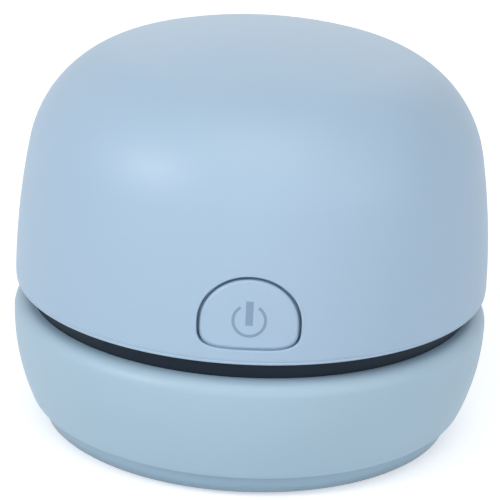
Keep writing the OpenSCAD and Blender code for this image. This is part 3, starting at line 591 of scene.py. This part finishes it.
# ---- Motor ---------------------------------------------------------------------
# A small brushed motor. Its can is deep-drawn steel, nickel plated, with fine lines
# every 0.35 mm round the draw, and its end cap is white moulded nylon.
drawn_steel, tree = start("drawn_nickel_plated_steel")
where = add(tree, "TexCoord").outputs["Object"]
lines = add(
    tree, "TexWave",
    {"bands_direction": "Z", "Scale": 900.0, "Distortion": 1.5, "Detail": 2.0},
    {"Vector": where},
)
tint = add(
    tree, "Mix", {"data_type": "RGBA", 6: linear("#a9a9a6"), 7: linear("#c3c2bd")},
    {0: lines.outputs["Fac"]},
)
bump = add(
    tree, "Bump", {"Strength": 0.15, "Distance": 0.01 * mm},
    {"Height": lines.outputs["Fac"]},
)
steel = add(
    tree, "BsdfPrincipled", {"Metallic": 1.0, "Roughness": 0.3},
    {"Base Color": tint.outputs[2], "Normal": bump.outputs["Normal"]},
)
add(tree, "OutputMaterial", None, {"Surface": steel.outputs[0]})
dress("motor_can", "can_drawn", 0.15, drawn_steel, "head")
dress("motor_shaft", "shaft_ground", 0.08, drawn_steel, "rotor")

# White nylon, moulded: faintly warm, with a soft sheen and a grain of about 0.4 mm.
white_nylon, tree = start("white_moulded_nylon")
where = add(tree, "TexCoord").outputs["Object"]
flow = add(tree, "TexNoise", {"Scale": 90.0, "Detail": 3.0}, {"Vector": where})
grain = add(tree, "TexNoise", {"Scale": 2500.0, "Detail": 2.0}, {"Vector": where})
tint = add(
    tree, "Mix", {"data_type": "RGBA", 6: linear("#d4d3cc"), 7: linear("#dddcd6")},
    {0: flow.outputs["Fac"]},
)
bump = add(
    tree, "Bump", {"Strength": 0.1, "Distance": 0.02 * mm},
    {"Height": grain.outputs["Fac"]},
)
skin = add(
    tree, "BsdfPrincipled", {"Roughness": 0.42, "IOR": 1.53},
    {"Base Color": tint.outputs[2], "Normal": bump.outputs["Normal"]},
)
add(tree, "OutputMaterial", None, {"Surface": skin.outputs[0]})
dress("motor_endcap", "end_cap", 0.15, white_nylon, "head")
dress("switch_plunger", "switch_stem", 0.1, white_nylon, "button")
dress("pcb_connectors", "lead_sockets", 0.1, white_nylon, "head")

# Sintered ferrite magnets: dull charcoal with a pressed grain, drawn at about 0.5 mm,
# coarser than the real one, so that it shows.
ferrite = mottled(
    "sintered_ferrite", 2200.0, 4.0, "#2b2b2d", "#434347",
    {"Roughness": 0.7}, relief=(0.3, 0.03),
)
dress("motor_magnets", "magnet_arcs", 0.15, ferrite, "head")

# Stamped silicon-steel laminations: dull grey edges with dark joints. Real ones are
# 0.5 mm thick and are drawn at 1 mm, so that they show.
laminations, tree = start("stacked_steel_laminations")
where = add(tree, "TexCoord").outputs["Object"]
sheets = add(
    tree, "TexWave", {"bands_direction": "Z", "Scale": 318.0},
    {"Vector": where},
)
joint = add(
    tree, "MapRange", {"From Min": 0.0, "From Max": 0.25},
    {"Value": sheets.outputs["Fac"]},
)
tint = add(
    tree, "Mix", {"data_type": "RGBA", 6: linear("#3a3a3a"), 7: linear("#8d8e8e")},
    {0: joint.outputs["Result"]},
)
bump = add(
    tree, "Bump", {"Strength": 0.5, "Distance": 0.05 * mm},
    {"Height": joint.outputs["Result"]},
)
skin = add(
    tree, "BsdfPrincipled", {"Metallic": 1.0, "Roughness": 0.45},
    {"Base Color": tint.outputs[2], "Normal": bump.outputs["Normal"]},
)
add(tree, "OutputMaterial", None, {"Surface": skin.outputs[0]})
dress("motor_armature", "armature_stack", 0.05, laminations, "rotor")

# Enamelled copper wire wound round the poles: glossy amber over copper. Real wire of
# 0.25 mm is drawn at 0.5 mm, so that it shows.
coil_copper, tree = start("enamelled_copper_winding")
where = add(tree, "TexCoord").outputs["Object"]
wires = add(
    tree, "TexWave",
    {"bands_direction": "X", "Scale": 640.0, "Distortion": 0.6, "Detail": 1.0},
    {"Vector": where},
)
tint = add(
    tree, "Mix", {"data_type": "RGBA", 6: linear("#8a3f1c"), 7: linear("#cf7a41")},
    {0: wires.outputs["Fac"]},
)
bump = add(
    tree, "Bump", {"Strength": 0.8, "Distance": 0.1 * mm},
    {"Height": wires.outputs["Fac"]},
)
skin = add(
    tree, "BsdfPrincipled",
    {"Metallic": 1.0, "Roughness": 0.3, "Coat Weight": 0.6, "Coat Roughness": 0.15},
    {"Base Color": tint.outputs[2], "Normal": bump.outputs["Normal"]},
)
add(tree, "OutputMaterial", None, {"Surface": skin.outputs[0]})
dress("motor_windings", "winding_coils", 0.7, coil_copper, "rotor", angle=40)

# Copper of the commutator and brushes, drawn and turned: bright, with browner patches
# of about 0.7 mm.
turned_copper = mottled(
    "turned_copper", 1500.0, 3.0, "#9c5a35", "#d08a5c",
    {"Metallic": 1.0, "Roughness": 0.28},
)
dress("motor_commutator", "commutator_bars", 0.05, turned_copper, "rotor")
dress("motor_brushes", "brush_blocks", 0.08, turned_copper, "head")

# Sintered bronze bushes, oil filled: dark gold with open pores of about 0.25 mm.
bronze = mottled(
    "sintered_bronze", 4000.0, 3.0, "#6e5230", "#a07c4a",
    {"Metallic": 1.0, "Roughness": 0.42},
)
for node, name in (("motor_bush_front", "bush_low"), ("motor_bush_rear", "bush_high")):
    dress(node, name, 0.08, bronze, "head")

# Nickel-plated tabs of the motor and the cell: pale, smooth strip, clouded by rolling
# about every 0.5 mm.
nickel_strip = mottled(
    "nickel_plated_strip", 1800.0, 2.0, "#b9b5aa", "#d0ccc2",
    {"Metallic": 1.0, "Roughness": 0.27},
)
for node, name in (
    ("motor_terminals", "motor_tabs"),
    ("battery_terminals", "cell_tabs"),
):
    dress(node, name, 0.05, nickel_strip, "head")


# ---- Fan ----------------------------------------------------------------------
# A centrifugal fan pressed on the shaft, over a black ABS plate that leads the air into
# its eye. It is moulded in one piece of polypropylene: grey-white, waxy and faintly
# translucent, with flow marks of about 8 mm.
polypropylene = mottled(
    "moulded_polypropylene", 120.0, 3.0, "#c2c6c8", "#cfd3d5",
    {
        "Roughness": 0.38, "IOR": 1.49,
        "Subsurface Weight": 0.08, "Subsurface Scale": 1 * mm,
    },
)
dress("impeller", "fan_wheel", 0.08, polypropylene, "rotor")
dress("fan_cover", "fan_plate", 0.12, black_abs, "head")


# ---- Seal ring ------------------------------------------------------------------
# A round cord of black nitrile rubber, which keeps the cup airtight. It is moulded, and
# stretched into the skirt's groove, and has a matt bloom in patches of about 2.5 mm.
nitrile = mottled(
    "nitrile_rubber_cord", 400.0, 4.0, "#1c1d1f", "#2e3033",
    {"Roughness": 0.55},
)
dress("seal_ring", "seal_cord", 0.0, nitrile, "head", angle=45)


# ---- Filter -------------------------------------------------------------------
# A frame moulded in white nylon that clips under the fan plate. It holds a disc of
# woven stainless wire against a disc of open-cell foam.
dress(
    "filter_frame", "filter_holder", 0.0,
    white_nylon, "head", decks=False,
)

# Plain weave of 0.15 mm wire every 0.6 mm; the wires cross over and under.
woven_steel, tree = start("woven_stainless_mesh")
where = add(tree, "TexCoord").outputs["Object"]
warp = add(tree, "TexWave", {"bands_direction": "X", "Scale": 524.0}, {"Vector": where})
weft = add(tree, "TexWave", {"bands_direction": "Y", "Scale": 524.0}, {"Vector": where})
wire = add(
    tree, "Math", {"operation": "MAXIMUM"},
    {0: warp.outputs["Fac"], 1: weft.outputs["Fac"]},
)
solid = add(
    tree, "MapRange", {"From Min": 0.45, "From Max": 0.72},
    {"Value": wire.outputs[0]},
)
tint = add(
    tree, "Mix", {"data_type": "RGBA", 6: linear("#1b1c1e"), 7: linear("#b9bbbc")},
    {0: solid.outputs["Result"]},
)
bump = add(
    tree, "Bump", {"Strength": 1.0, "Distance": 0.12 * mm},
    {"Height": wire.outputs[0]},
)
skin = add(
    tree, "BsdfPrincipled", {"Metallic": 1.0, "Roughness": 0.32},
    {"Base Color": tint.outputs[2], "Normal": bump.outputs["Normal"]},
)
add(tree, "OutputMaterial", None, {"Surface": skin.outputs[0]})
dress("filter_mesh", "filter_weave", 0.0, woven_steel, "head")

# Open-cell polyurethane foam: charcoal, with cells of about 0.5 mm.
foam, tree = start("open_cell_foam")
where = add(tree, "TexCoord").outputs["Object"]
cells = add(
    tree, "TexVoronoi", {"Scale": 1900.0, "feature": "DISTANCE_TO_EDGE"},
    {"Vector": where},
)
strut = add(
    tree, "MapRange", {"From Min": 0.05, "From Max": 0.35},
    {"Value": cells.outputs["Distance"]},
)
tint = add(
    tree, "Mix", {"data_type": "RGBA", 6: linear("#55585c"), 7: linear("#1a1b1d")},
    {0: strut.outputs["Result"]},
)
bump = add(
    tree, "Bump", {"Strength": 1.0, "Distance": 0.3 * mm, "invert": True},
    {"Height": cells.outputs["Distance"]},
)
skin = add(
    tree, "BsdfPrincipled", {"Roughness": 0.9},
    {"Base Color": tint.outputs[2], "Normal": bump.outputs["Normal"]},
)
add(tree, "OutputMaterial", None, {"Surface": skin.outputs[0]})
dress("filter_foam", "filter_pad", 0.0, foam, "head")


# ---- Cell ---------------------------------------------------------------------
# A lithium cell of 14 x 43 mm that lies beside the motor, in a glossy grey-blue PVC
# sleeve. The sleeve is shrunk on by heat, which leaves soft puckers about 4 mm across.
sleeve_pvc = mottled(
    "shrunk_pvc_sleeve", 260.0, 3.0, "#3f6b86", "#4b7a96",
    {"Roughness": 0.28, "IOR": 1.54}, relief=(0.25, 0.1),
)
dress("battery_cell", "cell_wrapped", 0.5, sleeve_pvc, "head", angle=35)


# ---- Boards -------------------------------------------------------------------
# The control board and the charging board, etched and screwed down: glass epoxy under a
# glossy green mask, where copper tracks about 0.4 mm wide show as paler raised lines.
glass_epoxy, tree = start("glass_epoxy_board")
where = add(tree, "TexCoord").outputs["Object"]
tracks = add(
    tree, "TexVoronoi", {"Scale": 420.0, "feature": "DISTANCE_TO_EDGE"},
    {"Vector": where},
)
line = add(
    tree, "MapRange", {"From Min": 0.06, "From Max": 0.1},
    {"Value": tracks.outputs["Distance"]},
)
tint = add(
    tree, "Mix", {"data_type": "RGBA", 6: linear("#2f7a4e"), 7: linear("#17563a")},
    {0: line.outputs["Result"]},
)
bump = add(
    tree, "Bump", {"Strength": 0.4, "Distance": 0.03 * mm, "invert": True},
    {"Height": line.outputs["Result"]},
)
skin = add(
    tree, "BsdfPrincipled", {"Roughness": 0.3, "IOR": 1.55},
    {"Base Color": tint.outputs[2], "Normal": bump.outputs["Normal"]},
)
add(tree, "OutputMaterial", None, {"Surface": skin.outputs[0]})
dress("main_pcb", "control_board", 0.05, glass_epoxy, "head")
dress("charge_pcb", "charging_board", 0.05, glass_epoxy, "head")

# Chips are moulded in black filled epoxy: dull, with faint specks of 0.2 mm.
filled_epoxy = mottled(
    "black_filled_epoxy", 5000.0, 2.0, "#1d1e20", "#333438",
    {"Roughness": 0.55},
)
dress("pcb_components", "chips", 0.1, filled_epoxy, "head")
dress("switch_body", "switch_box", 0.12, black_abs, "head")


# ---- Charging socket ------------------------------------------------------------
# A stainless shell with a black tongue in it, soldered to the charging board behind the
# dome's rear hole. Drawing leaves the shell bright, with marks of about 0.4 mm.
stainless = mottled(
    "drawn_stainless_shell", 2600.0, 3.0, "#a3a5a8", "#bcbec0",
    {"Metallic": 1.0, "Roughness": 0.3},
)
dress("usb_socket", "socket_shell", 0.05, stainless, "head")
dress("usb_tongue", "socket_tongue", 0.05, black_abs, "head")


# ---- Leads --------------------------------------------------------------------
# Short stranded copper leads, soldered at their ends, in extruded soft PVC with a satin
# skin. What lies to the left of the middle plane is red and the rest is black.
lead_pvc, tree = start("soft_pvc_sleeving")
where = add(tree, "TexCoord").outputs["Object"]
place = add(tree, "SeparateXYZ", None, {0: where})
right = add(
    tree, "Math", {"operation": "GREATER_THAN", 1: 0.0},
    {0: place.outputs["X"]},
)
wear = add(tree, "TexNoise", {"Scale": 900.0, "Detail": 2.0}, {"Vector": where})
pair = add(
    tree, "Mix", {"data_type": "RGBA", 6: linear("#a5211f"), 7: linear("#232427")},
    {0: right.outputs[0]},
)
gloss = add(
    tree, "MapRange", {"To Min": 0.3, "To Max": 0.45},
    {"Value": wear.outputs["Fac"]},
)
skin = add(
    tree, "BsdfPrincipled", {"IOR": 1.54},
    {"Base Color": pair.outputs[2], "Roughness": gloss.outputs["Result"]},
)
add(tree, "OutputMaterial", None, {"Surface": skin.outputs[0]})
for node, name in (
    ("battery_leads", "cell_wires"),
    ("motor_leads", "motor_wires"),
    ("charge_leads", "socket_wires"),
):
    dress(node, name, 0.0, lead_pvc, "head", angle=60)


# ---- Upper shell --------------------------------------------------------------
# The dome over the motor, moulded in one piece of the same pale blue ABS, with a
# D-shaped hole for the power button, a hole for the charging socket and a soft lip.
dome_r, lip_z, dome_h, dome_wall = 42.8, 26.8, 46.3, 2.0
side_r, shoulder_r, shoulder_start = 135.0, 22.0, 10.5
lip_inset, lip_round, inner_ease = 1.2, 1.3, 0.2
bead_x, bead_up, bead_r, bead_from, bead_to = 42.39, 0.46, 0.32, 0.2, 0.69
bead_start, bead_end, widest_up = -60, 40, 0.8
top_z = lip_z + dome_h
widest_z = lip_z + widest_up
side_x = dome_r - side_r
reach = math.radians(shoulder_start)
shoulder_x = side_x + (side_r - shoulder_r) * math.cos(reach)
shoulder_z = widest_z + (side_r - shoulder_r) * math.sin(reach)
rise = top_z - shoulder_z
crown_r = (shoulder_x ** 2 + rise ** 2 - shoulder_r ** 2) / (2 * (rise - shoulder_r))
crown_z = top_z - crown_r
crown_start = math.degrees(math.atan2(shoulder_z - crown_z, shoulder_x))


def dome_line(inset, z, steps=(30, 44, 36)):
    """Outline of the dome set in by inset, from level z up to the crown, with the steps
    of its side, shoulder and crown."""
    low = math.degrees(math.asin((z - widest_z) / (side_r - inset)))
    side = arc(side_x, widest_z, side_r - inset, low, shoulder_start, steps[0])
    bend = arc(
        shoulder_x, shoulder_z, shoulder_r - inset, shoulder_start, crown_start, steps[1]
    )
    crown = arc(0, crown_z, crown_r - inset, crown_start, 90, steps[2])
    return side + bend[1:] + crown[1:-1] + [(0.0, crown_z + crown_r - inset)]


# The lip turns in under the dome, with a small rounded bead on its outer edge.
lip = [
    (dome_line(0, lip_z + lip_round)[0][0] - lip_inset * (1 - math.sin(math.radians(a))),
     lip_z + lip_round * (1 - math.cos(math.radians(a))))
    for a in range(0, 90, 9)
]
bead = arc(bead_x, lip_z + bead_up, bead_r, bead_start, bead_end, 8)
lip = (
    [p for p in lip if p[1] < lip_z + bead_from]
    + bead
    + [p for p in lip if p[1] > lip_z + bead_to]
)
inner_line = dome_line(dome_wall, lip_z + inner_ease, (12, 22, 14))
shell = lathe(
    "dome_shell",
    lip + dome_line(0, lip_z + lip_round) + list(reversed(inner_line))
    + [(inner_line[0][0] + inner_ease, lip_z)],
    steps=360,
)

button_w, button_arch, button_foot, button_z = 16.4, 7.6, 4.3, 34.2
button_gap, foot_gap, hole_round, foot_square = 0.54, 0.30, 0.22, 0.47
fill_z, fill_top, front_y, hole_back = 27.6, 46, -52, -30


def dome_front(x, z, depth):
    """How far forward the dome's surface lies at x and z, set in by depth."""
    r = side_x + math.sqrt((side_r - depth) ** 2 - (z - widest_z) ** 2)
    return -math.sqrt(r * r - x * x)


def low_dome(inset, steps=360):
    """A solid that fills the dome's surface set in by inset, up past the button."""
    line = [p for p in dome_line(inset, fill_z, (30, 4, 4)) if p[1] < fill_top]
    return lathe("low_dome", [(0, fill_z)] + line + [(0, line[-1][1])], steps)


def d_outline(side, up, down, count=144):
    """The button's D shape, flat side down, grown by side, up and down. Its lower half
    is a rounded square, squarer as foot_square is smaller."""
    points = []
    for i in range(count):
        a = math.tau * i / count
        c, s = math.cos(a), math.sin(a)
        if s >= 0:
            points.append(((button_w / 2 + side) * c, button_z + (button_arch + up) * s))
        else:
            points.append((
                (button_w / 2 + side) * math.copysign(abs(c) ** foot_square, c),
                button_z - (button_foot + down) * abs(s) ** foot_square,
            ))
    return points


def stack(name, rings):
    """A closed solid through rings of points, each ring extruded from the last one and
    its vertices known by where they stood before they were moved."""
    bpy.ops.object.select_all(action="DESELECT")
    bpy.ops.mesh.primitive_circle_add(
        vertices=len(rings[0]), radius=mm, fill_type="NGON"
    )
    piece = bpy.context.object
    piece.name = name
    bpy.ops.object.mode_set(mode="EDIT")
    bpy.ops.mesh.select_all(action="SELECT")
    bpy.ops.object.mode_set(mode="OBJECT")
    last = [tuple(v.co) for v in piece.data.vertices]
    for number, ring in enumerate(rings):
        if number:
            bpy.ops.object.mode_set(mode="EDIT")
            bpy.ops.mesh.extrude_region_move()
            bpy.ops.object.mode_set(mode="OBJECT")
        lifted = {last.index(tuple(v.co)): v for v in piece.data.vertices if v.select}
        for place, vertex in lifted.items():
            vertex.co = [c * mm for c in ring[place]]
        last = [tuple(lifted[i].co) for i in range(len(ring))]
    bpy.ops.object.mode_set(mode="EDIT")
    bpy.ops.mesh.select_all(action="SELECT")
    bpy.ops.mesh.normals_make_consistent(inside=False)
    bpy.ops.object.mode_set(mode="OBJECT")
    return piece


def d_ring(grow, depth=0.0, foot=None, y=None):
    """One ring of the D outline, grown by side, up and down. It lies on the dome at a
    depth, which can go over to another one at the foot, or else flat at y."""
    ring = []
    for x, z in d_outline(*grow):
        low = min(1.0, max(0.0, (button_z - z) / button_foot))
        inset = depth if foot is None else depth + (foot - depth) * low
        ring.append((x, dome_front(x, z, inset) if y is None else y, z))
    return ring


edges = [math.radians(a) for a in range(10, 91, 10)]


def hole_ring(e, **place):
    """One ring of the button hole, where its rounded edge has turned by e."""
    g = hole_round * (1 - math.sin(e))
    return d_ring((button_gap + g, button_gap + g, foot_gap + g), **place)


hole = stack(
    "hole",
    [hole_ring(edges[0], y=front_y)]
    + [hole_ring(e, depth=hole_round * (1 - math.cos(e))) for e in edges]
    + [hole_ring(edges[-1], y=hole_back)],
)
# The socket's hole is a slot with round ends, cut straight through from behind.
slot_w, slot_h, slot_z, slot_y, slot_length, slot_round = 9.6, 3.92, 33.53, 38, 14, 1.95
socket_hole = box("hole", 0, slot_y, slot_z - slot_h / 2, (slot_w, slot_length, slot_h))
pick(socket_hole)
bpy.ops.object.mode_set(mode="EDIT")
bpy.ops.mesh.select_all(action="DESELECT")
bpy.ops.object.mode_set(mode="OBJECT")
for edge in socket_hole.data.edges:
    a, b = (socket_hole.data.vertices[i].co for i in edge.vertices)
    edge.select = abs(a.y - b.y) > slot_length * mm / 2
bpy.ops.object.mode_set(mode="EDIT")
bpy.ops.mesh.bevel(offset=slot_round * mm, segments=12)
bpy.ops.object.mode_set(mode="OBJECT")
combine(shell, [hole, socket_hole], "DIFFERENCE")
shell_abs = satin_abs("satin_moulded_abs_dome", "#a7c2d7", "#acc4da", 0.43)
finish(shell, shell_abs, "head", "upper_shell", angle=12)


# ---- Power button ---------------------------------------------------------------
# A D-shaped cap of the same ABS that follows the dome, with softly rounded edges. A
# flange behind the wall holds it in, and a stem reaches back to the switch.
cap_round, cap_depth, flange_depth, flange_back = 0.5, 3.6, 2.3, -36
ledge, flange = (0.18, 0.18, 0.27), (1.2, 1.2, 0.8)
ledge_depth, foot_depth = 1.6, 0.56
stem_r, stem_length, stem_y, stem_z = 1.6, 3.0, -38.6, 35.0


def cap_ring(e, **place):
    """One ring of the cap, where its rounded edge has turned by e."""
    return d_ring([-cap_round * (1 - math.sin(e))] * 3, **place)


cap = stack(
    "button_face",
    [cap_ring(edges[0], y=front_y)]
    + [cap_ring(e, depth=cap_round * (1 - math.cos(e))) for e in edges]
    + [
        d_ring((0, 0, 0), depth=ledge_depth, foot=foot_depth),
        d_ring(ledge, depth=ledge_depth, foot=foot_depth),
        d_ring(ledge, depth=flange_depth),
        d_ring(flange, depth=flange_depth),
        d_ring(flange, y=flange_back),
    ],
)
combine(cap, [low_dome(0)], "INTERSECT")
combine(cap, [low_dome(cap_depth, 90)], "DIFFERENCE")
bpy.ops.object.select_all(action="DESELECT")
bpy.ops.mesh.primitive_cylinder_add(
    vertices=40, radius=stem_r * mm, depth=stem_length * mm
)
stem = bpy.context.object
bpy.ops.object.mode_set(mode="EDIT")
bpy.ops.transform.rotate(value=math.pi / 2, orient_axis="X", center_override=(0, 0, 0))
bpy.ops.transform.translate(value=(0, stem_y * mm, stem_z * mm))
bpy.ops.object.mode_set(mode="OBJECT")
combine(cap, [stem], "UNION")
finish(cap, shell_abs, "button", "button_cap", angle=12)


# ---- Power symbol ---------------------------------------------------------------
# The common power symbol, a ring open at the top with a bar in it. It is pad printed on
# the cap in grey-blue ink, and stands a hair proud of it.
icon_d, icon_line, icon_bar, icon_z = 5.9, 0.5, 1.25, 34.9
ring_from, ring_to, bar_low, bar_high = 124, 416, 0.145, 0.565
icon_back, ink_proud, ink_depth = -41, 0.02, 0.3
turns = [math.radians(a) for a in range(ring_from, ring_to + 1, 4)]
outer, inner = icon_d / 2, icon_d / 2 - icon_line
symbol_ring = [(outer * math.cos(a), icon_z + outer * math.sin(a)) for a in turns]
symbol_ring += [
    (inner * math.cos(a), icon_z + inner * math.sin(a)) for a in reversed(turns)
]
low, high = icon_z - bar_low * icon_d, icon_z + bar_high * icon_d
half = icon_bar / 2
symbol_bar = [(-half, low), (half, low), (half, high), (-half, high)]
strokes = []
for outline in (symbol_ring, symbol_bar):
    rings = [[(x, y, z) for x, z in outline] for y in (front_y, icon_back)]
    stroke = stack("stroke", rings)
    combine(stroke, [low_dome(-ink_proud)], "INTERSECT")
    combine(stroke, [low_dome(ink_depth)], "DIFFERENCE")
    strokes.append(stroke)
symbol = strokes[0]
join(symbol, strokes[1])
symbol.name = "power_symbol"

# Pad printing ink: flat and matt, with specks of about 0.5 mm where it lies thinner.
print_ink = mottled(
    "pad_print_grey", 1800.0, 3.0, "#8199b3", "#8aa2bb",
    {"Roughness": 0.5, "IOR": 1.48},
)
finish(symbol, print_ink, "button", "power_icon", angle=12)
